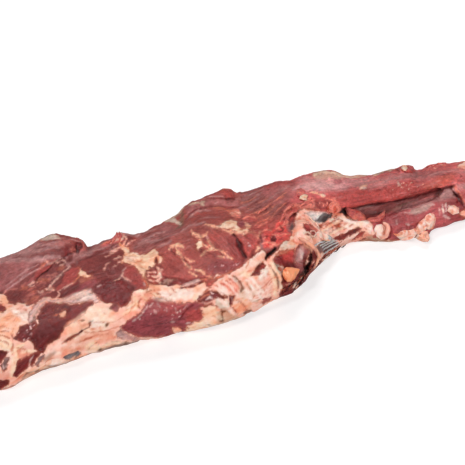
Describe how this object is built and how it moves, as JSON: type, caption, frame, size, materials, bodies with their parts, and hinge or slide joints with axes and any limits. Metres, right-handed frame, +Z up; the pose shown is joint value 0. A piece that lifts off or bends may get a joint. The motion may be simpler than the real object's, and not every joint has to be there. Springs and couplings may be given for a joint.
{
  "type": "raw veal tenderloin",
  "caption": "Long raw untrimmed veal tenderloin: thick fleshy head, seams and lumps of fat along one flank, and a thin tail beside a loose side strand.",
  "frame": {"origin": "middle of the footprint, on the surface that the meat lies on", "axes": "+X along the length towards the thin tail, +Z up, the flank with the fat seam faces -Y"},
  "size_m": [0.437, 0.0998, 0.0438],
  "materials": {
    "raw_meat": null
  },
  "bodies": {
    "root": {"tenderloin": "raw_meat"}
  },
  "joints": []
}
